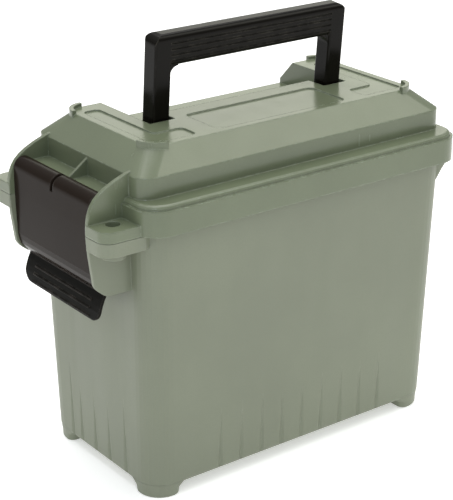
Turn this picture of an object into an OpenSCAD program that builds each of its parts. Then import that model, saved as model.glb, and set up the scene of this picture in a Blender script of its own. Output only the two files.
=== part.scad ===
// Moulded plastic dry storage can: a deep tub, a hinged lid with a folding
// carry handle, and a cam latch at one end. X is the long axis with the latch
// at -X and the hinge at +X, Y is the short axis, Z is up, and the can stands
// on its four feet at Z = 0, centred on its own bounding box.

/* [Overall] */
// Length of the lid rim, along X
rim_l = 210; // [160:1:300]
// Width of the lid rim, along Y
rim_w = 126.4; // [100:0.2:180]
// Height of the joint line between tub and lid
part_z = 154.4; // [100:0.2:220]

/* [Tub] */
// How far the rim overhangs the tub wall at the ends
over_end = 4; // [3:0.1:6]
// How far the rim overhangs the tub wall along the sides
over_side = 7; // [5:0.1:10]
// How much each end wall draws in between mouth and floor
draft_end = 2.8; // [1:0.1:6]
// How much each side wall draws in between mouth and floor
draft_side = 4.9; // [1:0.1:8]
// Wall thickness of tub and lid
wall = 3; // [2.4:0.1:4]
// Outer corner radius of the tub walls
corner_r = 14; // [10:0.5:20]
// Height of the feet under the floor
foot_h = 6.8; // [4:0.2:10]
// Length of each foot along both walls
foot_l = 19.5; // [12:0.5:24]
// Height of the tub lip above the joint line
lip_h = 9.6; // [6:0.2:11]
// Spacing of the flutes round the bottom of the walls
flute_pitch = 14; // [10:0.2:20]
// Depth of a flute at the bottom edge
flute_d = 1.2; // [0.5:0.1:1.6]
// Half width of a flute at the bottom edge
flute_w = 2.4; // [1:0.1:3.4]
// Height of the inner flutes
flute_h = 40; // [20:1:60]

/* [Lid] */
// Height of the rim skirt
rim_h = 13.3; // [12:0.1:18]
// Height of the rounded step on top of the rim
step_h = 2.6; // [1.5:0.1:4]
// How far the step stands in from the rim
step_in = 1.5; // [0.8:0.1:3]
// How far the upper wall stands in from the rim at the ends
upper_end = 4.3; // [4:0.1:8]
// How far the upper wall stands in from the rim along the sides
upper_side = 12.2; // [8:0.2:16]
// Height of the upper wall above the step
upper_h = 11.1; // [8:0.1:16]
// Height of the slope from the upper wall to the top
slope_h = 11.6; // [8:0.1:16]
// Run of the slope at the ends
slope_end = 13.2; // [8:0.1:18]
// Run of the slope along the sides
slope_side = 11.4; // [8:0.1:16]
// Corner radius of the flat top
top_r = 9.5; // [6:0.5:14]
// Radius of the upper wall corners
upper_r = 9; // [7:0.5:16]
// Depth of the shallow panels in the top
panel_d = 0.7; // [0.4:0.1:1.5]
// Height of the stacking ridges on the four top corners
ridge_h = 1.9; // [1:0.1:4]
// Thickness of the stacking ridges
ridge_t = 2.4; // [1.6:0.1:4]
// Play between the tub lip and the lid skirt
lip_play = 0.8; // [0.6:0.1:1.2]

/* [Handle] */
// Length of the handle over its legs
handle_l = 125.8; // [90:0.2:160]
// Width of a handle leg along the handle
leg_w = 10.2; // [8:0.2:14]
// Thickness of the handle
handle_t = 10.9; // [8:0.1:14]
// Height of the grip's upper side above the pivot
handle_h = 54.6; // [42:0.2:60]
// Depth of the grip from its upper to its lower side
grip_d = 17.5; // [10:0.1:18]
// Height of the pivot above the floor of the trough
pivot_up = 5.9; // [5:0.1:9]
// Depth of the trough below the flat top
trough_d = 14.4; // [12:0.1:18]
// Gap between a leg and the outer wall of the trough
trough_gap = 3.1; // [1:0.1:5]
// Gap between a leg and the inner wall of its pocket
pocket_gap = 2.3; // [0.6:0.1:4]
// How far the pockets reach in front of the pivot
pocket_front = 7.6; // [7:0.1:10]
// Angle by which the raised handle leans towards the front
lean = 5; // [0:0.5:8]
// Radius of the handle pins
handle_pin_r = 2; // [1.2:0.1:3]

/* [Latch] */
// Distance of the cheeks' outer edge from the rim end
cheek_out = 20.2; // [17:0.1:26]
// Half the distance between the inner faces of the cheeks
cheek_half = 37.1; // [26:0.1:40]
// Thickness of a cheek
cheek_t = 2.3; // [1.8:0.1:3]
// Distance of the latch pivot from the rim end
latch_x = 11.5; // [10:0.1:14]
// Height of the latch pivot above the joint line
latch_z = 14; // [12:0.1:15]
// Radius of the rolled top of the latch
roll_r = 5.8; // [5:0.1:6.6]
// Thickness of the latch plate
plate_t = 2.5; // [2:0.1:3.2]
// Depth of the latch pull tab below the joint line
tab_down = 49.3; // [44:0.1:60]
// Side clearance of the latch between the cheeks
latch_play = 0.5; // [0.3:0.1:1]
// Radius of the latch pin
latch_pin_r = 2; // [1.5:0.1:2.6]
// Station of the middle rib along the pin
mid_y = -1; // [-4:0.1:4]

/* [Padlock lugs] */
// Radius of the padlock hole
lock_r = 3.8; // [2.5:0.1:4.5]
// Thickness of the lug on the lid
lug_lid_t = 5.8; // [4:0.1:8]
// Thickness of the lug on the tub
lug_tub_t = 7.4; // [4:0.1:10]
// Reach of a lug beside its cheek
lug_out = 15; // [12:0.1:18]
// Radius of the boss round the padlock hole under the lug on the tub
boss_r = 6.2; // [5:0.1:7]
// Height of that boss
boss_h = 3.9; // [1:0.1:6]

/* [Hinge] */
// Radius of the hinge knuckles
knuckle_r = 4; // [3.2:0.1:4.2]
// Length of one knuckle
knuckle_l = 9; // [6:0.5:14]
// Distance of each hinge group from the middle
hinge_y = 30; // [20:0.5:34]
// Radius of the hinge pins
hinge_pin_r = 1.6; // [1:0.1:2]

/* [Clearances] */
// Gap on the joint line between tub and lid
part_gap = 0.2; // [0.1:0.05:0.4]
// Running clearance of a pin in the piece that turns on it
run_gap = 0.06; // [0.03:0.01:0.1]
// Side gap between neighbouring knuckles
knuckle_gap = 0.4; // [0.3:0.05:0.8]

/* [Hidden] */
fine = 48;
eps = 0.01;

hx = rim_l / 2;                        // half length of the rim
hy = rim_w / 2;                        // half width of the rim
hinge_x = hx + 0.6;                    // hinge axis
hinge_z = part_z - knuckle_r - 0.6;
shift_x = (cheek_out - 0.6 - knuckle_r) / 2;   // centres the outline on X

// Tub levels
floor_z = foot_h + wall;
lip_z = part_z + lip_h;
tub_tx = hx - over_end;
tub_ty = hy - over_side;
tub_bx = tub_tx - draft_end;
tub_by = tub_ty - draft_side;
function tub_x(z) = tub_bx + draft_end * (z - foot_h) / (part_z - foot_h);
function tub_y(z) = tub_by + draft_side * (z - foot_h) / (part_z - foot_h);

// Lid levels
rim_z = part_z + rim_h;
ledge_z = rim_z + step_h;
brow_z = ledge_z + upper_h;
top_z = brow_z + slope_h;
up_x = hx - upper_end;
up_y = hy - upper_side;
top_x = up_x - slope_end;
top_y = up_y - slope_side;
trough_z = top_z - trough_d;
pivot_z = trough_z + pivot_up;
trough_x = handle_l / 2 + trough_gap;
leg_in = handle_l / 2 - leg_w;
pocket_x = leg_in - pocket_gap;
trough_y = handle_t / 2 - 0.1;         // front wall of the trough between the legs

// Latch levels
face_x = -hx - cheek_out;              // outer edge of the cheeks
lp_x = -hx - latch_x;                  // latch pin
lp_z = part_z + latch_z;
cheek_foot = part_z - 34.4;            // lower end of the tub cheeks
latch_half = cheek_half - latch_play;
lock_x = -hx - 8.5;
lock_y = cheek_half + cheek_t + 4.6;
slot_half = 1.3;                       // slot in the roll for the middle rib
rib_half = 0.8;
pin_in = 1.4;                          // depth of the latch pin in each cheek

// Points of a rounded rectangle, one radius for each corner, counter-clockwise
function ring(x0, x1, y0, y1, r, n = 8) = [
    for (c = [0:3]) let (
        q = r[c],
        cx = (c == 0 || c == 3) ? x1 - q : x0 + q,
        cy = (c < 2) ? y1 - q : y0 + q)
    for (k = [0:n]) let (a = 90 * c + 90 * k / n) [cx + q * cos(a), cy + q * sin(a)]];
function box_ring(x, y, r, n = 8) = ring(-x, x, -y, y, [r, r, r, r], n);

// A closed skin through rings of equal length, each given as [height, points]
module loft(rings) {
    n = len(rings[0][1]);
    m = len(rings);
    pts = [for (s = rings) for (q = s[1]) [q[0], q[1], s[0]]];
    sides = [for (i = [0:m - 2]) for (k = [0:n - 1]) let (j = (k + 1) % n)
        [i * n + k, (i + 1) * n + k, (i + 1) * n + j, i * n + j]];
    polyhedron(points = pts, faces = concat(
        [[for (k = [0:n - 1]) k]], sides,
        [[for (k = [n - 1:-1:0]) (m - 1) * n + k]]), convexity = 6);
}

// A rounded rectangle with true round corners
module round_rect(x, y, r) {
    square([2 * x, 2 * (y - r)], center = true);
    square([2 * (x - r), 2 * y], center = true);
    for (i = [-1, 1], j = [-1, 1]) translate([i * (x - r), j * (y - r)]) circle(r, $fn = fine);
}

// A round bar along Y between two stations
module bar_y(x, z, r, y0, y1) {
    translate([x, y0, z]) rotate([-90, 0, 0]) cylinder(r = r, h = y1 - y0, $fn = fine);
}

// A round bar along X between two stations
module bar_x(y, z, r, x0, x1) {
    translate([x0, y, z]) rotate([0, 90, 0]) cylinder(r = r, h = x1 - x0, $fn = fine);
}

// An outline in X and Z made solid across Y
module plate_y(pts, y0, y1) {
    translate([0, y1, 0]) rotate([90, 0, 0]) linear_extrude(y1 - y0) polygon(pts);
}

// Arc of points in the X-Z plane
function arc(cx, cz, r, a0, a1, n) = [for (k = [0:n]) let (a = a0 + (a1 - a0) * k / n)
    [cx + r * cos(a), cz + r * sin(a)]];

// Outer edge of a cheek above the joint line, as shares of its reach and height
function cheek_upper(bottom) = let (reach = -up_x + 1.2 - face_x, rise = brow_z + 1.6 - part_z) concat(
    [[-up_x + 3, brow_z + 1.6]],
    [for (q = [[1, 1], [0.837, 0.955], [0.638, 0.888], [0.444, 0.804], [0.307, 0.727], [0.191, 0.636], [0.113, 0.538],
               [0.062, 0.441], [0.031, 0.35], [0.012, 0.259], [0.003, 0.161], [0, 0.056]])
        [face_x + q[0] * reach, part_z + q[1] * rise]],
    [[face_x, bottom], [-hx + 3, bottom]]);
// Outer edge of a cheek below the joint line
function cheek_lower(top) = concat(
    [[-tub_tx + 1, top], [face_x, top]],
    [for (q = [[0.1, 3], [0.4, 7], [0.8, 11.4], [1.4, 15.7], [1.8, 19.1], [2.3, 22.4], [2.6, 25.1], [3, 27.2], [3.8, 28.6],
               [5.1, 30.2], [6.8, 31.8], [8.6, 33.2], [10.4, 34.1]]) [face_x + q[0], part_z - q[1]]],
    [[face_x + 13, cheek_foot], [-tub_x(cheek_foot) + 1, cheek_foot]]);

// Plan of a padlock lug beside the front cheek
module lug_plan() {
    yo = -cheek_half - cheek_t - lug_out;
    difference() {
        polygon(concat([[-hx + 10, -cheek_half - 0.5], [face_x, -cheek_half - 0.5]],
            [for (k = [0:8]) let (a = 180 + 90 * k / 8) [face_x + 7 + 7 * cos(a), yo + 7 + 7 * sin(a)]],
            [[-hx + 3.8, yo], [-hx + 8.6, yo + 3]]));
        translate([lock_x, -lock_y]) circle(lock_r, $fn = fine);
    }
}

// V-shaped flute that fades out upwards, cut into a wall that faces -Y
module flute(h) {
    o = 2;
    k = flute_w / flute_d;
    low = k * (o + flute_d);
    high = k * (o - 0.05);
    polyhedron(points = [[-low, -o, -6], [low, -o, -6], [0, flute_d, -6],
                         [0, -0.05, h], [-high, -o, h], [high, -o, h]],
        faces = [[0, 1, 2], [3, 5, 4], [0, 4, 5, 1], [1, 5, 3, 2], [0, 2, 3, 4]], convexity = 3);
}

module tub() {
    color([0.47, 0.49, 0.42]) translate([shift_x, 0, 0]) {
        lean_side = atan(draft_side / (part_z - foot_h));
        lean_end = atan(draft_end / (part_z - foot_h));
        side_at = [for (k = [-4:4]) 2 + k * flute_pitch];
        end_at = [0.6 - 1.91 * flute_pitch, 3.8 - flute_pitch, 3.8, 3.8 + flute_pitch, 0.6 + 1.91 * flute_pitch];
        difference() {
            union() {
                // Drafted walls with an eased bottom edge
                loft([[foot_h, box_ring(tub_bx - 1.6, tub_by - 1.6, corner_r - 1.6)],
                      [foot_h + 0.6, box_ring(tub_bx - 0.5, tub_by - 0.5, corner_r - 0.5)],
                      [foot_h + 1.8, box_ring(tub_x(foot_h + 1.8), tub_y(foot_h + 1.8), corner_r)],
                      [part_z, box_ring(tub_tx, tub_ty, corner_r)],
                      [lip_z, box_ring(tub_tx, tub_ty, corner_r)]]);
                // Feet
                for (i = [-1, 1], j = [-1, 1]) scale([i, j, 1]) foot();
                // Wedge under the rim at the hinge end, cut away round the lid knuckles
                difference() {
                    plate_y([[tub_tx - 5, part_z - 14], [tub_tx - 3.2, part_z - 11.7], [tub_tx - 0.6, part_z - 8.1],
                             [hx - 1.5, part_z - 4.7], [hx - 0.8, part_z - 3.9], [hx - 0.8, part_z - part_gap],
                             [tub_tx - 5, part_z - part_gap]], -tub_ty + 4, tub_ty - 4);
                    for (s = [-1, 1]) translate([hinge_x - knuckle_r - 0.5, s * hinge_y - knuckle_l / 2, part_z - 12])
                        cube([10, knuckle_l, 14]);
                }
                // Hinge knuckles
                for (s = [-1, 1], t = [-1, 1]) {
                    y0 = s * hinge_y + t * knuckle_l - knuckle_l / 2;
                    bar_y(hinge_x, hinge_z, knuckle_r, y0, y0 + knuckle_l);
                    translate([tub_tx - 1.5, y0, hinge_z - knuckle_r])
                        cube([hinge_x - tub_tx + 1.5, knuckle_l, knuckle_r * 1.6]);
                }
                // Latch cheeks
                for (s = [-1, 1]) plate_y(cheek_lower(part_z - part_gap),
                    s > 0 ? cheek_half : -cheek_half - cheek_t, s > 0 ? cheek_half + cheek_t : -cheek_half);
                // Padlock lugs, with a boss under each round the hole
                for (s = [-1, 1]) scale([1, s, 1]) {
                    translate([0, 0, part_z - part_gap - lug_tub_t]) linear_extrude(lug_tub_t) lug_plan();
                    translate([lock_x, -lock_y, part_z - part_gap - lug_tub_t - boss_h]) difference() {
                        cylinder(r = boss_r, h = boss_h + 1, $fn = fine);
                        translate([0, 0, -1]) cylinder(r = lock_r, h = boss_h + 3, $fn = fine);
                    }
                }
                // Catch for the latch hook, with a sloping underside
                plate_y([[-tub_x(part_z - 20) + 1, part_z - 22], [-tub_x(part_z) + 1, part_z - 8],
                         [-hx - 1.2, part_z - 8.6], [-hx - 2.6, part_z - 9.8], [-hx - 2.6, part_z - 14]],
                        -latch_half + 6, latch_half - 6);
            }
            // Inside
            loft([[floor_z, box_ring(tub_x(floor_z) - wall - 2, tub_y(floor_z) - wall - 2, corner_r - wall - 2)],
                  [floor_z + 2, box_ring(tub_x(floor_z) - wall, tub_y(floor_z) - wall, corner_r - wall)],
                  [part_z, box_ring(tub_tx - wall, tub_ty - wall, corner_r - wall)],
                  [lip_z + 1, box_ring(tub_tx - wall, tub_ty - wall, corner_r - wall)]]);
            // Pin bores
            for (s = [-1, 1]) bar_y(hinge_x, hinge_z, hinge_pin_r, s * hinge_y - 2 * knuckle_l, s * hinge_y + 2 * knuckle_l);
            // Flutes on the four walls
            for (k = [0:8]) for (s = [0, 180]) rotate([0, 0, s])
                translate([(s == 0 ? 1 : -1) * side_at[k], -tub_by, foot_h])
                    rotate([lean_side, 0, 0]) flute(flute_h);
            for (k = [0:4]) for (s = [-90, 90]) rotate([0, 0, s])
                translate([(s == -90 ? -1 : 1) * end_at[k], -tub_bx, foot_h])
                    rotate([lean_end, 0, 0]) flute(k == 0 || k == 4 ? flute_h + 10 : flute_h);
        }
    }
}

// Outline of the foot, drawn in by a at its inner sides and by b at its outer ones. The two
// corners on a side together never take more than the side, so the outline can't fold over.
function foot_ring(a, b) = let (
    side = foot_l - a - b,
    r = min(corner_r - b, side - 1),
    q = min(4, side - r - 0.05))
    ring(tub_bx - foot_l + a, tub_bx - b, tub_by - foot_l + a, tub_by - b, [r, q, min(3, q), q]);

// Foot at the +X +Y corner
module foot() {
    loft([[0, foot_ring(1.4, 1.3)],
          [0.7, foot_ring(0.6, 0.8)],
          [foot_h - 2.6, foot_ring(0, 0.6)],
          [foot_h + 1, foot_ring(-4, 0.2)]]);
}

// Block that the trough and the two leg pockets take out of the lid, grown by g
module trough_block(g, top) {
    z0 = trough_z - g;
    translate([-trough_x - g, trough_y - g, z0]) cube([2 * (trough_x + g), hy, top - z0]);
    for (s = [-1, 1]) translate([s > 0 ? pocket_x - g : -trough_x - g, -pocket_front - g, z0])
        cube([trough_x - pocket_x + 2 * g, pocket_front + trough_y + g + 1, top - z0]);
}

module lid() {
    color([0.52, 0.54, 0.45]) translate([shift_x, 0, 0]) difference() {
        union() {
            difference() {
                union() {
                    // Rim skirt
                    translate([0, 0, part_z]) linear_extrude(rim_h) round_rect(hx, hy, corner_r);
                    // Rounded step above the rim
                    loft([[rim_z - 1, box_ring(hx - step_in, hy - step_in, corner_r - step_in)],
                          [rim_z + step_h * 0.45, box_ring(hx - step_in, hy - step_in, corner_r - step_in)],
                          [rim_z + step_h * 0.8, box_ring(hx - step_in - 0.5, hy - step_in - 0.5, corner_r - step_in)],
                          [ledge_z, box_ring(hx - step_in - 1.5, hy - step_in - 1.5, corner_r - step_in)]]);
                    // Upper wall and slope
                    loft([[rim_z, box_ring(up_x, up_y, upper_r)],
                          [brow_z, box_ring(up_x, up_y, upper_r)],
                          [top_z, box_ring(top_x, top_y, top_r)]]);
                }
                // Inside of the lid
                translate([0, 0, part_z - 1]) linear_extrude(ledge_z - wall - part_z + 1)
                    round_rect(tub_tx + lip_play, tub_ty + lip_play, corner_r);
                difference() {
                    loft([[ledge_z - wall - 1, box_ring(up_x - wall, up_y - wall, upper_r - wall + 1)],
                          [brow_z - 1.2, box_ring(up_x - wall, up_y - wall, upper_r - wall + 1)],
                          [top_z - wall, box_ring(top_x - 1.3, top_y - 1.3, top_r - 1)]]);
                    trough_block(wall, top_z);
                }
            }
            // Stacking ridges
            for (i = [-1, 1], j = [-1, 1]) scale([i, j, 1]) translate([top_x - top_r, top_y - top_r, top_z - 2.4])
                rotate_extrude(angle = 90, $fn = fine) translate([top_r + 2 - ridge_t, 0]) square([ridge_t, ridge_h + 2.4]);
            // Latch cheeks
            for (s = [-1, 1]) plate_y(cheek_upper(part_z),
                s > 0 ? cheek_half : -cheek_half - cheek_t, s > 0 ? cheek_half + cheek_t : -cheek_half);
            // Middle rib that carries the latch pin
            bar_y(lp_x, lp_z, 3.8, mid_y - rib_half, mid_y + rib_half);
            plate_y([[-up_x + 1, brow_z - 0.5], [lp_x, lp_z + 0.3], [lp_x, lp_z - 1.5], [-up_x + 1, lp_z - 1.5]],
                mid_y - rib_half, mid_y + rib_half);
            // Shelf behind the roll
            difference() {
                translate([lp_x + 2, -cheek_half - 0.5, ledge_z - 1.6])
                    cube([-hx - lp_x + 3, 2 * cheek_half + 1, 2]);
                bar_y(lp_x, lp_z, roll_r + 0.8, -cheek_half - 1, cheek_half + 1);
            }
            // Padlock lugs
            for (s = [-1, 1]) scale([1, s, 1]) translate([0, 0, part_z]) linear_extrude(lug_lid_t) lug_plan();
            // Hinge knuckles
            for (s = [-1, 1]) {
                y0 = s * hinge_y - knuckle_l / 2 + knuckle_gap;
                bar_y(hinge_x, hinge_z, knuckle_r, y0, y0 + knuckle_l - 2 * knuckle_gap);
                translate([hinge_x - 3, y0, hinge_z])
                    cube([3 + knuckle_r, knuckle_l - 2 * knuckle_gap, part_z - hinge_z + 4]);
            }
        }
        // Skirt stays clear of the tub lip where the lugs and cheeks run into it
        translate([0, 0, part_z - 1]) linear_extrude(ledge_z - wall - part_z + 1)
            round_rect(tub_tx + lip_play, tub_ty + lip_play, corner_r);
        // Trough and leg pockets
        trough_block(0, top_z + ridge_h + 1);
        // Pin bores
        bar_y(lp_x, lp_z, latch_pin_r, -cheek_half - pin_in, cheek_half + pin_in);
        for (s = [-1, 1]) bar_x(0, pivot_z, handle_pin_r, s > 0 ? pocket_x - wall * 0.7 : -trough_x - wall * 0.7,
            s > 0 ? trough_x + wall * 0.7 : -pocket_x + wall * 0.7);
        for (s = [-1, 1]) bar_y(hinge_x, hinge_z, hinge_pin_r + run_gap, s * hinge_y - knuckle_l, s * hinge_y + knuckle_l);
        // Shallow panels
        translate([0, 0, top_z - panel_d]) linear_extrude(panel_d + 1) panels();
    }
}

// Outlines of the shallow panels in the flat top
module panels() {
    x1 = pocket_x - 7.6;
    polygon(ring(-x1, x1, -top_y + 4.5, trough_y - 10.4, [3.5, 3.5, 3.5, 3.5], 6));
    for (s = [-1, 1]) scale([s, 1]) {
        xo = top_x - 4.4;
        xi = trough_x + 7.4;
        yo = -top_y + 4.5;
        ym = -pocket_front - 13.8;
        polygon(concat(
            [for (k = [0:6]) let (a = 90 * k / 6) [xo - 3 + 3 * cos(a), top_y - 12 + 3 * sin(a)]],
            [for (k = [0:6]) let (a = 90 + 90 * k / 6) [xi + 3 + 3 * cos(a), top_y - 12 + 3 * sin(a)]],
            [for (k = [0:6]) let (a = -90 * k / 6) [xi - 3 + 3 * cos(a), ym + 3 + 3 * sin(a)]],
            [for (k = [0:6]) let (a = 90 + 90 * k / 6) [pocket_x + 5.6 + 3 + 3 * cos(a), ym - 3 + 3 * sin(a)]],
            [for (k = [0:6]) let (a = 180 + 90 * k / 6) [pocket_x + 5.6 + 3 + 3 * cos(a), yo + 3 + 3 * sin(a)]],
            [for (k = [0:6]) let (a = -90 + 90 * k / 6) [xo - 3 + 3 * cos(a), yo + 3 + 3 * sin(a)]]));
    }
}

module lid_seal() {
    color([0.12, 0.12, 0.12]) translate([shift_x, 0, lip_z + 0.1]) linear_extrude(ledge_z - wall - lip_z - 0.1)
        difference() {
            round_rect(tub_tx - 0.2, tub_ty - 0.2, corner_r - 0.2);
            round_rect(tub_tx - 2.8, tub_ty - 2.8, corner_r - 2.8);
        }
}

module handle() {
    hl = handle_l / 2;
    ht = handle_t / 2;
    low = handle_h - grip_d;
    color([0.1, 0.1, 0.09]) translate([shift_x, 0, pivot_z]) rotate([lean, 0, 0]) difference() {
        union() {
            // Grip with rounded long edges, cut to the rounded outer corners
            intersection() {
                translate([-hl, 0, 0]) rotate([90, 0, 90]) linear_extrude(2 * hl)
                    translate([0, low + grip_d / 2]) round_rect(ht, grip_d / 2, 3.2);
                translate([0, ht, 0]) rotate([90, 0, 0]) linear_extrude(2 * ht)
                    translate([0, handle_h - 20]) round_rect(hl, 20, 5.5);
                linear_extrude(handle_h + 1) round_rect(hl, ht, 1.2);
            }
            // Legs with round lower ends
            for (s = [-1, 1]) intersection() {
                translate([s * (hl - leg_w / 2), 0, -ht]) linear_extrude(ht + handle_h - 6) round_rect(leg_w / 2, ht, 1.2);
                union() {
                    bar_x(0, 0, ht, -hl - 1, hl + 1);
                    translate([-hl - 1, -ht - 1, 0]) cube([2 * hl + 2, 2 * ht + 2, handle_h]);
                }
            }
            // Inner corners
            for (s = [-1, 1]) scale([s, 1, 1]) translate([0, ht - 1.2, 0]) rotate([90, 0, 0]) linear_extrude(2 * ht - 2.4)
                difference() {
                    translate([leg_in - 5, low - 5]) square([6, 6]);
                    translate([leg_in - 5, low - 5]) circle(5, $fn = fine);
                }
        }
        // Pin bores
        bar_x(0, 0, handle_pin_r + run_gap, -hl - 1, -leg_in + 1);
        bar_x(0, 0, handle_pin_r + run_gap, leg_in - 1, hl + 1);
        // Grip grooves on both sides
        for (s = [-1, 1], k = [0:3])
            translate([-leg_in - 0.4, s > 0 ? ht - 0.6 : -ht - 0.4, low + 2.9 + k * 3.1]) cube([2 * leg_in + 0.8, 1, 0.9]);
    }
}

module handle_pin(s) {
    x0 = pocket_x - wall * 0.7;
    x1 = trough_x + wall * 0.7;
    color([0.6, 0.6, 0.6]) translate([shift_x, 0, 0]) bar_x(0, pivot_z, handle_pin_r, s > 0 ? x0 : -x1, s > 0 ? x1 : -x0);
}
module handle_pin_left() { handle_pin(-1); }
module handle_pin_right() { handle_pin(1); }

// Station of a point on the pull tab, t from the plate's lip (0) to the lower end (1)
function tab_at(x, t) = [lp_x - roll_r + x, cheek_foot + t * (part_z - tab_down - cheek_foot)];

module latch() {
    fx = lp_x - roll_r;                   // outer face of the plate
    tz = part_z - tab_down;               // lower end of the pull tab
    color([0.2, 0.17, 0.16]) translate([shift_x, 0, 0]) difference() {
        union() {
            bar_y(lp_x, lp_z, roll_r, -latch_half, latch_half);
            // Cover plate whose lower lip turns in and runs on as the flared pull tab
            intersection() {
                plate_y(concat(
                    [[lp_x, lp_z + 2], [fx, lp_z]],
                    [for (q = [[-0.1, -2], [0, 5], [0.2, 13], [0.5, 22], [1, 25.2], [1.9, 27.9], [3.5, 30.3], [5.4, 32.3],
                               [7.2, 33.8]]) [fx + q[0], part_z - q[1]]],
                    [for (q = [[7.2, 0], [5.8, 0.2], [4.6, 0.42], [3.8, 0.62], [3.5, 0.8], [3.3, 0.96], [3.5, 1]]) tab_at(q[0], q[1])],
                    [for (q = [[4.6, 1], [4.8, 0.96], [5, 0.8], [5.4, 0.6], [6.1, 0.42], [7.3, 0.22], [8.8, 0.02]]) tab_at(q[0], q[1])],
                    [for (q = [[9.8, 32.6], [8.8, 31], [6.6, 29.2], [5, 27.2], [3.7, 24.8], [3, 21.8], [2.7, 13], [2.5, 5], [2.5, -4]])
                        [fx + q[0], part_z - q[1]]],
                    [[lp_x, lp_z - 3.5]]), -latch_half, latch_half);
                translate([fx - 5, 0, 0]) rotate([90, 0, 90]) linear_extrude(30)
                    translate([0, tz + 60]) round_rect(latch_half, 60, 7);
            }
            // Ribs on the pull tab
            for (q = [[3.45, 0.89], [3.85, 0.61], [5.15, 0.33]]) let (c = tab_at(q[0], q[1]))
                plate_y([[c[0] + 1, c[1] + 1.1], [c[0] - 0.55, c[1] + 0.5], [c[0] - 0.75, c[1]], [c[0] - 0.55, c[1] - 0.35],
                         [c[0] + 1, c[1] - 0.7]], -27.5, 27.5);
            // Hook arm that stands in front of the catch
            plate_y([[fx + 1, part_z - 15.4], [-hx - 4.4, part_z - 15.4], [-hx - 3, part_z - 17.4],
                     [-hx - 3, part_z - 19], [-hx - 6, part_z - 21], [fx + 1, part_z - 21]], -latch_half + 8, latch_half - 8);
            // Stiffening webs between the roll and the hook arm
            for (y = [-18, 18]) plate_y([[fx + 1, part_z - 19], [fx + 6.5, part_z - 19], [fx + 6.5, lp_z - 3], [fx + 1, lp_z - 3]],
                y - 1.2, y + 1.2);
        }
        // Slot for the middle rib and bore for the pin
        translate([lp_x - 20, mid_y - slot_half, lp_z - 2]) cube([40, 2 * slot_half, roll_r + 12]);
        bar_y(lp_x, lp_z, 4.3, mid_y - slot_half, mid_y + slot_half);
        bar_y(lp_x, lp_z, latch_pin_r + run_gap, -latch_half - 1, latch_half + 1);
    }
}

module latch_pin() {
    color([0.6, 0.6, 0.6]) translate([shift_x, 0, 0])
        bar_y(lp_x, lp_z, latch_pin_r, -cheek_half - pin_in, cheek_half + pin_in);
}

module hinge_pin(s) {
    color([0.6, 0.6, 0.6]) translate([shift_x, 0, 0])
        bar_y(hinge_x, hinge_z, hinge_pin_r, s * hinge_y - 1.5 * knuckle_l, s * hinge_y + 1.5 * knuckle_l);
}
module hinge_pin_front() { hinge_pin(-1); }
module hinge_pin_back() { hinge_pin(1); }

tub();
lid();
lid_seal();
handle();
handle_pin_left();
handle_pin_right();
latch();
latch_pin();
hinge_pin_front();
hinge_pin_back();
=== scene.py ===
"""Looks for a moulded dry storage can with a hinged lid, a folding handle and a snap latch.

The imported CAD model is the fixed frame, and it holds every shape. Each sub-assembly is a
class that dresses its own nodes; each finish is a frozen dataclass that builds one
procedural material. Everything is in metres.
"""

import logging
import math
from dataclasses import dataclass, replace
from enum import Enum
from typing import Optional, Sequence

import bpy
from mathutils import Matrix, Vector


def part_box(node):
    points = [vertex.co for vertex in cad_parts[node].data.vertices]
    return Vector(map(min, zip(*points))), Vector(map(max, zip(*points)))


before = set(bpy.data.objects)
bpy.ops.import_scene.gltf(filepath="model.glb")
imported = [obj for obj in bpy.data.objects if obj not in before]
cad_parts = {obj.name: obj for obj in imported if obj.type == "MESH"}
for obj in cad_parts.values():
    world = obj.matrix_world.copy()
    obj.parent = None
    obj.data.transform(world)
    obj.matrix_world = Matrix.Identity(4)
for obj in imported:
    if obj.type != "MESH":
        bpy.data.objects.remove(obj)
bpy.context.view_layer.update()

LOG = logging.getLogger("storage_can")
Colour = tuple[float, float, float]


class Grain(Enum):
    """Surface texture left by the mould: cells for each metre, and depth in metres."""

    SATIN = (2200.0, 0.000035)
    POLISHED = (900.0, 0.000008)

    @property
    def cells(self) -> float:
        """Cells of grain for each metre."""
        return self.value[0]

    @property
    def depth(self) -> float:
        """Depth of the grain in metres."""
        return self.value[1]


# Inputs and output of Blender's Mix node when it blends colours.
MIX_ONE, MIX_TWO, MIX_RESULT = 6, 7, 2

# Agreement of the eased and the true normal: on flat ground, and on a full edge.
EDGE_FLAT, EDGE_FULL = 0.995, 0.9
EDGE_REACH = 0.0011      # how far the edge wear and painted edge highlight reach in from an edge, metres
EDGE_SAMPLES = 4         # Bevel samples for the edge mask
EASE_SAMPLES = 6         # Bevel samples for the eased edges
ZONE_BORDER = 0.0005     # half width of the soft border of a zone, metres

# Moulded plastic: cells are for each metre, depths are in metres.
CLOUD_CELLS = 14.0       # slow drift of the colour
SPECK_CELLS = 1500.0     # fine specks in the pigment
SPECK_DARK = 0.78        # share of the colour that is left in a speck
SPECK_SHARE = 0.22       # most that a speck covers
FLOW_STRETCH = (90.0, 90.0, 7.0)   # flow marks run down the walls
FLOW_DEPTH = 0.00008
FLOW_ROUGH = (0.86, 1.16)          # how far flow marks swing the roughness
SINK_CELLS = 9.0         # shallow sink marks
SINK_DEPTH = 0.0006
WEAR_AND_HIGHLIGHT_CELLS = 160.0        # uneven edge wear and painted edge highlight along an edge
WEAR_AND_HIGHLIGHT_LEAST = 0.12         # least edge wear and painted edge highlight along an edge
WEAR_AND_HIGHLIGHT_ROUGH = 0.12         # roughness that the full edge wear and painted edge highlight mask adds
CLOUD_ROUGH = 0.05       # roughness that the drift adds


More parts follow.
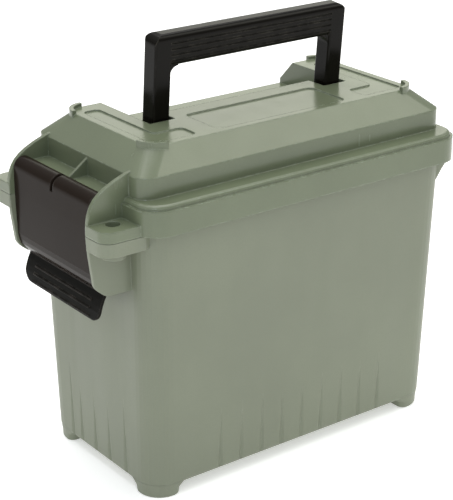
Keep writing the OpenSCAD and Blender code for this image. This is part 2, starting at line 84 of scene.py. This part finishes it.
@dataclass
class Graph:
    """A shorthand for wiring one material's nodes."""

    material: bpy.types.Material

    @classmethod
    def start(cls, name: str) -> "Graph":
        """Make an empty node material.

        Args:
            name: Name of the material.

        Returns:
            The graph of the new material.
        """
        material = bpy.data.materials.new(name)
        material.use_nodes = True
        material.node_tree.nodes.clear()
        return cls(material)

    def add(self, kind: str, **settings: object) -> bpy.types.Node:
        """Add a node and set its attributes or inputs.

        Args:
            kind: Blender's node type without the ShaderNode prefix.
            settings: Attributes of the node, or input names with underscores for blanks.

        Returns:
            The new node.
        """
        node = self.material.node_tree.nodes.new("ShaderNode" + kind)
        for key, value in settings.items():
            if hasattr(node, key):
                setattr(node, key, value)
            else:
                node.inputs[key.replace("_", " ")].default_value = value
        return node

    def link(self, source: bpy.types.NodeSocket, target: bpy.types.NodeSocket) -> None:
        """Join two sockets."""
        self.material.node_tree.links.new(source, target)

    def coords(self, scale: Sequence[float] = (1.0, 1.0, 1.0)) -> bpy.types.NodeSocket:
        """Give the object's own coordinates in metres, stretched.

        Args:
            scale: Stretch along X, Y and Z.

        Returns:
            The vector socket.
        """
        place = self.add("TexCoord")
        mapping = self.add("Mapping")
        mapping.inputs["Scale"].default_value = scale
        self.link(place.outputs["Object"], mapping.inputs["Vector"])
        return mapping.outputs["Vector"]

    def noise(self, scale: float, detail: float, where: bpy.types.NodeSocket,
              rough: float = 0.5) -> bpy.types.NodeSocket:
        """Add a noise field.

        Args:
            scale: Cells for each metre.
            detail: Octaves of finer noise.
            where: Vector socket it is read at.
            rough: Strength of the finer octaves.

        Returns:
            The field's value socket, about 0 to 1.
        """
        node = self.add("TexNoise", Scale=scale, Detail=detail, Roughness=rough)
        self.link(where, node.inputs["Vector"])
        return node.outputs["Fac"]

    def remap(self, value: bpy.types.NodeSocket, low: float, high: float, out_low: float,
              out_high: float, smooth: bool = False) -> bpy.types.NodeSocket:
        """Map one range on to another, clamped.

        Args:
            value: Socket to map.
            low: Value that gives out_low.
            high: Value that gives out_high.
            out_low: Result at low.
            out_high: Result at high.
            smooth: Ease both ends.

        Returns:
            The mapped value.
        """
        node = self.add("MapRange")
        node.interpolation_type = "SMOOTHSTEP" if smooth else "LINEAR"
        for name, number in (("From Min", low), ("From Max", high),
                             ("To Min", out_low), ("To Max", out_high)):
            node.inputs[name].default_value = number
        self.link(value, node.inputs["Value"])
        return node.outputs["Result"]

    def maths(self, how: str, one: bpy.types.NodeSocket, two: object) -> bpy.types.NodeSocket:
        """Combine two values.

        Args:
            how: Operation, such as MULTIPLY.
            one: First value socket.
            two: Second value, a socket or a number.

        Returns:
            The result socket.
        """
        node = self.add("Math")
        node.operation = how
        self.link(one, node.inputs[0])
        if isinstance(two, bpy.types.NodeSocket):
            self.link(two, node.inputs[1])
        else:
            node.inputs[1].default_value = float(two)
        return node.outputs[0]

    def blend(self, factor: bpy.types.NodeSocket, one: object, two: object) -> bpy.types.NodeSocket:
        """Blend two colours.

        Args:
            factor: Share of the second colour.
            one: First colour, a socket or three numbers.
            two: Second colour, a socket or three numbers.

        Returns:
            The blended colour.
        """
        node = self.add("Mix")
        node.data_type = "RGBA"
        self.link(factor, node.inputs[0])
        for index, value in ((MIX_ONE, one), (MIX_TWO, two)):
            if isinstance(value, bpy.types.NodeSocket):
                self.link(value, node.inputs[index])
            else:
                node.inputs[index].default_value = (*value, 1.0)
        return node.outputs[MIX_RESULT]

    def edge_mask(self, radius: float) -> bpy.types.NodeSocket:
        """Find convex and concave edges by comparing the eased normal with the true one.

        Args:
            radius: Reach of the mask in metres.

        Returns:
            0 on flat ground, towards 1 on an edge.
        """
        eased = self.add("Bevel", samples=EDGE_SAMPLES, Radius=radius)
        true = self.add("NewGeometry")
        dot = self.add("VectorMath")
        dot.operation = "DOT_PRODUCT"
        self.link(eased.outputs["Normal"], dot.inputs[0])
        self.link(true.outputs["Normal"], dot.inputs[1])
        return self.remap(dot.outputs["Value"], EDGE_FLAT, EDGE_FULL, 0.0, 1.0, smooth=True)

    def bumps(self, layers: Sequence[tuple[bpy.types.NodeSocket, float, float]],
              ease: float) -> bpy.types.NodeSocket:
        """Stack height fields on the eased normal.

        Args:
            layers: Height socket, strength and depth in metres of each layer.
            ease: Radius of the eased edges in metres.

        Returns:
            The normal for the shader.
        """
        eased = self.add("Bevel", samples=EASE_SAMPLES, Radius=ease)
        normal = eased.outputs["Normal"]
        for height, strength, depth in layers:
            bump = self.add("Bump", Strength=strength, Distance=depth)
            self.link(height, bump.inputs["Height"])
            self.link(normal, bump.inputs["Normal"])
            normal = bump.outputs["Normal"]
        return normal

    def shade(self, colour: bpy.types.NodeSocket, rough: bpy.types.NodeSocket,
              normal: bpy.types.NodeSocket, **fixed: float) -> bpy.types.Material:
        """Finish the graph with a principled shader.

        Args:
            colour: Base colour.
            rough: Roughness.
            normal: Normal.
            fixed: Values that are the same all over, set on the shader's own sockets.

        Returns:
            The finished material.
        """
        shader = self.add("BsdfPrincipled")
        for name, value in fixed.items():
            shader.inputs[name.replace("_", " ")].default_value = value
        self.link(colour, shader.inputs["Base Color"])
        self.link(rough, shader.inputs["Roughness"])
        self.link(normal, shader.inputs["Normal"])
        out = self.add("OutputMaterial")
        self.link(shader.outputs["BSDF"], out.inputs["Surface"])
        return self.material


@dataclass(frozen=True)
class MattZone:
    """Band of a piece, by height, that the mould leaves duller and darker."""

    low: float
    high: float
    rough: float
    colour: Colour


@dataclass(frozen=True)
class MouldedPlastic:
    """Solid-coloured moulded plastic with grain, faint flow marks, and lighter edges: real wear on
    the tub and lid, a painted edge highlight on the handle and latch.
    """

    name: str
    colour: Colour
    # lighter edge colour: real wear on the tub and lid, a painted edge highlight on the handle and
    # latch
    wear_and_edge_highlight: Colour
    rough: float
    grain: Grain = Grain.SATIN
    ease: float = 0.0008
    mottle: float = 0.06
    shine: float = 0.5
    # strength of the lighter edges: real wear on the tub and lid, a painted edge highlight on the
    # handle and latch
    wear_and_highlight: float = 0.75
    zone: Optional[MattZone] = None

    def build(self) -> bpy.types.Material:
        """Build the material.

        Returns:
            The material.
        """
        graph = Graph.start(self.name)
        plain = graph.coords()
        clouds = graph.noise(CLOUD_CELLS, 4.0, plain)
        specks = graph.noise(SPECK_CELLS, 2.0, plain)
        flow = graph.noise(1.0, 3.0, graph.coords(FLOW_STRETCH))
        dark = tuple(channel * (1.0 - self.mottle) for channel in self.colour)
        light = tuple(min(1.0, channel * (1.0 + self.mottle)) for channel in self.colour)
        speck = tuple(channel * SPECK_DARK for channel in self.colour)
        colour = graph.blend(graph.remap(clouds, 0.3, 0.7, 0.0, 1.0, smooth=True), dark, light)
        colour = graph.blend(graph.remap(specks, 0.35, 0.75, 0.0, SPECK_SHARE), colour, speck)
        sleek, coarse = (self.rough * swing for swing in FLOW_ROUGH)
        rough = graph.remap(flow, 0.3, 0.7, sleek, coarse)
        if self.zone is not None:
            inside = self.inside(graph, self.zone)
            colour = graph.blend(inside, colour, self.zone.colour)
            duller = graph.maths("MULTIPLY", inside, self.zone.rough - self.rough)
            rough = graph.maths("ADD", rough, duller)
        # Lighter colour along edges: real wear on the tub and lid, a painted edge highlight on the
        # handle and latch.
        uneven = graph.noise(WEAR_AND_HIGHLIGHT_CELLS, 5.0, plain, 0.65)
        wear_and_highlight = graph.maths("MULTIPLY", graph.edge_mask(EDGE_REACH),
                          graph.remap(uneven, 0.42, 0.68, WEAR_AND_HIGHLIGHT_LEAST, self.wear_and_highlight))
        colour = graph.blend(wear_and_highlight, colour, self.wear_and_edge_highlight)
        rough = graph.maths("ADD", rough, graph.remap(clouds, 0.4, 0.7, 0.0, CLOUD_ROUGH))
        rough = graph.maths("ADD", rough, graph.maths("MULTIPLY", wear_and_highlight, WEAR_AND_HIGHLIGHT_ROUGH))
        grain = graph.noise(self.grain.cells, 3.0, plain, 0.6)
        normal = graph.bumps([
            (graph.noise(SINK_CELLS, 2.0, plain), 0.35, SINK_DEPTH),
            (flow, 0.10, FLOW_DEPTH),
            (grain, 0.5, self.grain.depth),
        ], self.ease)
        return graph.shade(colour, rough, normal, IOR=1.5, Specular_IOR_Level=self.shine)

    @staticmethod
    def inside(graph: Graph, zone: MattZone) -> bpy.types.NodeSocket:
        """Mark the band of a zone.

        Args:
            graph: Graph the nodes go in.
            zone: The band.

        Returns:
            1 inside the band and 0 outside it, with a soft border.
        """
        split = graph.add("SeparateXYZ")
        graph.link(graph.coords(), split.inputs[0])
        height = split.outputs["Z"]
        above = graph.remap(height, zone.low - ZONE_BORDER, zone.low + ZONE_BORDER, 0.0, 1.0)
        below = graph.remap(height, zone.high - ZONE_BORDER, zone.high + ZONE_BORDER, 1.0, 0.0)
        return graph.maths("MULTIPLY", above, below)


@dataclass(frozen=True)
class SealRubber:
    """Smooth black rubber with a dull bloom."""

    name: str
    colour: Colour = (0.02, 0.02, 0.021)
    bloom: Colour = (0.05, 0.05, 0.05)

    def build(self) -> bpy.types.Material:
        """Build the material.

        Returns:
            The material.
        """
        graph = Graph.start(self.name)
        plain = graph.coords()
        patches = graph.noise(60.0, 4.0, plain)
        colour = graph.blend(graph.remap(patches, 0.45, 0.75, 0.0, 0.5), self.colour, self.bloom)
        rough = graph.remap(patches, 0.3, 0.7, 0.55, 0.8)
        normal = graph.bumps([(graph.noise(1800.0, 2.0, plain), 0.4, 0.00003)], 0.0004)
        return graph.shade(colour, rough, normal, IOR=1.52)


@dataclass(frozen=True)
class PinSteel:
    """Drawn steel wire with fine turning lines."""

    name: str
    colour: Colour = (0.58, 0.57, 0.55)
    stained: Colour = (0.30, 0.27, 0.24)

    def build(self) -> bpy.types.Material:
        """Build the material.

        Returns:
            The material.
        """
        graph = Graph.start(self.name)
        lines = graph.noise(1.0, 3.0, graph.coords((4000.0, 4000.0, 300.0)))
        stain = graph.noise(220.0, 4.0, graph.coords())
        colour = graph.blend(graph.remap(stain, 0.5, 0.8, 0.0, 0.5), self.colour, self.stained)
        rough = graph.remap(lines, 0.3, 0.7, 0.22, 0.42)
        normal = graph.bumps([(lines, 0.3, 0.00002)], 0.0002)
        return graph.shade(colour, rough, normal, Metallic=1.0)


@dataclass(frozen=True)
class StudioPaint:
    """Matt pale studio floor."""

    name: str
    colour: Colour
    glow: float = 0.0

    def build(self) -> bpy.types.Material:
        """Build the material.

        Returns:
            The material.
        """
        graph = Graph.start(self.name)
        cloud = graph.noise(3.0, 3.0, graph.coords())
        low = tuple(channel * 0.985 for channel in self.colour)
        colour = graph.blend(cloud, low, self.colour)
        rough = graph.remap(cloud, 0.3, 0.7, 0.6, 0.7)
        normal = graph.bumps([(graph.noise(400.0, 2.0, graph.coords()), 0.1, 0.0001)], 0.001)
        return graph.shade(colour, rough, normal, Emission_Strength=self.glow)


def dress(node: str, material: bpy.types.Material) -> None:
    """Give a CAD node its material.

    Args:
        node: Name of the node.
        material: Finish for the whole node.
    """
    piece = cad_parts[node]
    piece.data.materials.clear()
    piece.data.materials.append(material)
    LOG.info("%s dressed in %s", node, material.name)


@dataclass
class Tub:
    """The deep tub with its feet, flutes, lugs and hinge knuckles."""

    finish: MouldedPlastic = MouldedPlastic(
        "tub_plastic_satin", colour=(0.200, 0.220, 0.155), wear_and_edge_highlight=(0.31, 0.33, 0.26), rough=0.40,
        grain=Grain.SATIN, ease=0.0009)

    def dress(self) -> None:
        """Dress the tub."""
        dress("tub", self.finish.build())


@dataclass
class Lid:
    """The lid with its trough, stacking ridges and latch cheeks, and its seal."""

    finish: MouldedPlastic = MouldedPlastic(
        "lid_plastic_smooth", colour=(0.150, 0.176, 0.110), wear_and_edge_highlight=(0.30, 0.34, 0.25), rough=0.21,
        grain=Grain.POLISHED, ease=0.0010)
    seal: SealRubber = SealRubber("seal_rubber_black")

    def dress(self) -> None:
        """Dress the lid and its seal."""
        dress("lid", self.finish.build())
        dress("lid_seal", self.seal.build())


@dataclass
class CarryHandle:
    """The folding handle; its two pins are dressed by Pins."""

    # The light edge colour of the handle is a painted edge highlight, not wear.
    finish: MouldedPlastic = MouldedPlastic(
        "handle_plastic_black", colour=(0.0052, 0.0044, 0.0032), wear_and_edge_highlight=(0.070, 0.064, 0.052),
        rough=0.17, grain=Grain.POLISHED, ease=0.0007, mottle=0.15, shine=0.10, wear_and_highlight=0.9)

    def dress(self) -> None:
        """Dress the handle."""
        dress("handle", self.finish.build())


@dataclass
class Latch:
    """The snap latch with its cover plate and pull tab."""

    tab_height: float = 0.0149
    tab_spare: float = 0.001
    tab_rough: float = 0.5
    tab_colour: Colour = (0.0070, 0.0068, 0.0055)
    # The light edge colour of the latch is a painted edge highlight, not wear.
    plate: MouldedPlastic = MouldedPlastic(
        "latch_plastic_black", colour=(0.0165, 0.0115, 0.0085), wear_and_edge_highlight=(0.085, 0.075, 0.066),
        rough=0.20, grain=Grain.POLISHED, ease=0.0007, mottle=0.15, shine=0.05, wear_and_highlight=0.9)

    def dress(self) -> None:
        """Dress the latch, with a duller finish on the ribbed pull tab."""
        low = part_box("latch")[0][2]
        tab = MattZone(low - self.tab_spare, low + self.tab_height, self.tab_rough,
                       self.tab_colour)
        dress("latch", replace(self.plate, zone=tab).build())


@dataclass
class Pins:
    """The steel pins of hinge, latch and handle."""

    finish: PinSteel = PinSteel("pin_steel_drawn")
    nodes: tuple[str, ...] = (
        "handle_pin_left", "handle_pin_right", "latch_pin", "hinge_pin_front", "hinge_pin_back")

    def dress(self) -> None:
        """Dress every pin."""
        steel = self.finish.build()
        for node in self.nodes:
            dress(node, steel)


@dataclass(frozen=True)
class SoftBox:
    """One soft box that looks at the can: its middle and size in metres, and its watts."""

    name: str
    place: tuple[float, float, float]
    size: tuple[float, float]
    power: float
    colour: Colour = (1.0, 1.0, 1.0)
    aim: tuple[float, float, float] = (0.0, 0.0, 0.12)

    def hang(self) -> None:
        """Hang the box and turn it to the can."""
        data = bpy.data.lights.new(self.name, "AREA")
        data.shape = "RECTANGLE"
        data.size, data.size_y = self.size
        data.energy = self.power
        data.color = self.colour
        lamp = bpy.data.objects.new(self.name, data)
        lamp.location = self.place
        look = Vector(self.aim) - Vector(self.place)
        lamp.rotation_euler = look.to_track_quat("-Z", "Y").to_euler()
        bpy.context.scene.collection.objects.link(lamp)


@dataclass
class Studio:
    """Camera, floor and soft lights."""

    eye: tuple[float, float, float] = (-0.4919, -0.6550, 0.4400)
    turn: float = -36.70
    tilt: float = 22.16
    roll: float = -0.08
    lens: float = 114.09
    sensor: float = 36.0
    near: float = 0.05
    far: float = 30.0
    floor_size: float = 80.0
    floor_finish: StudioPaint = StudioPaint("studio_floor", (0.93, 0.93, 0.925), 0.42)
    horizon: float = 0.26
    zenith: float = 0.85
    high_sky: float = 0.95
    boxes: tuple[SoftBox, ...] = (
        SoftBox("top_box", (0.25, 0.45, 1.5), (1.2, 1.0), 9.0, (1.0, 0.99, 0.97)),
        SoftBox("back_box", (1.5, 1.95, 1.0), (1.8, 1.0), 6.5, (1.0, 1.0, 0.86)),
        SoftBox("right_box", (1.1, -0.75, 1.45), (0.8, 0.8), 5.5, (1.0, 1.0, 0.88)),
        SoftBox("edge_box", (-0.54, -0.27, 1.45), (0.28, 0.28), 3.2, (0.90, 0.96, 1.0)),
        SoftBox("corner_box", (-0.95, -1.1, 0.95), (0.35, 0.5), 2.2, (0.66, 0.83, 1.0)),
    )

    def camera(self) -> None:
        """Place the camera."""
        turn, tilt, roll = (math.radians(angle) for angle in (self.turn, self.tilt, self.roll))
        level = math.cos(tilt)
        back = Vector((math.sin(turn) * level, -math.cos(turn) * level, math.sin(tilt)))
        right = Vector((math.cos(turn), math.sin(turn), 0.0))
        up = back.cross(right)
        across = right * math.cos(roll) + up * math.sin(roll)
        above = up * math.cos(roll) - right * math.sin(roll)
        data = bpy.data.cameras.new("camera")
        data.sensor_fit = "AUTO"
        data.sensor_width = self.sensor
        data.lens = self.lens
        data.clip_start, data.clip_end = self.near, self.far
        camera = bpy.data.objects.new("camera", data)
        camera.matrix_world = Matrix((
            (across.x, above.x, back.x, self.eye[0]),
            (across.y, above.y, back.y, self.eye[1]),
            (across.z, above.z, back.z, self.eye[2]),
            (0.0, 0.0, 0.0, 1.0)))
        bpy.context.scene.collection.objects.link(camera)
        bpy.context.scene.camera = camera

    def floor(self) -> None:
        """Lay the floor."""
        half = self.floor_size / 2
        mesh = bpy.data.meshes.new("floor")
        corners = [(-half, -half, 0), (half, -half, 0), (half, half, 0), (-half, half, 0)]
        mesh.from_pydata(corners, [], [(0, 1, 2, 3)])
        mesh.materials.append(self.floor_finish.build())
        floor = bpy.data.objects.new("floor", mesh)
        bpy.context.scene.collection.objects.link(floor)

    def sky(self) -> None:
        """Set surroundings that are bright overhead and fall off towards the horizon."""
        world = bpy.data.worlds.new("surroundings")
        world.use_nodes = True
        tree = world.node_tree
        place = tree.nodes.new("ShaderNodeTexCoord")
        split = tree.nodes.new("ShaderNodeSeparateXYZ")
        rise = tree.nodes.new("ShaderNodeMapRange")
        rise.interpolation_type = "SMOOTHSTEP"
        for name, number in (("From Min", 0.0), ("From Max", self.high_sky),
                             ("To Min", self.horizon), ("To Max", self.zenith)):
            rise.inputs[name].default_value = number
        tree.links.new(place.outputs["Generated"], split.inputs[0])
        tree.links.new(split.outputs["Z"], rise.inputs["Value"])
        background = tree.nodes["Background"]
        background.inputs["Color"].default_value = (1.0, 1.0, 1.0, 1.0)
        tree.links.new(rise.outputs["Result"], background.inputs["Strength"])
        bpy.context.scene.world = world

    def lights(self) -> None:
        """Set the surroundings and hang the soft boxes."""
        self.sky()
        for box in self.boxes:
            box.hang()
        bpy.context.scene.view_settings.view_transform = "Standard"

    def build(self) -> None:
        """Build the whole studio."""
        self.camera()
        self.floor()
        self.lights()


def main() -> None:
    """Build and dress every sub-assembly in order."""
    logging.basicConfig(level=logging.INFO, format="%(name)s: %(message)s")
    Studio().build()
    for part in (Tub(), Lid(), CarryHandle(), Latch(), Pins()):
        part.dress()
        LOG.info("%s done", type(part).__name__)


if __name__ == "__main__":
    main()
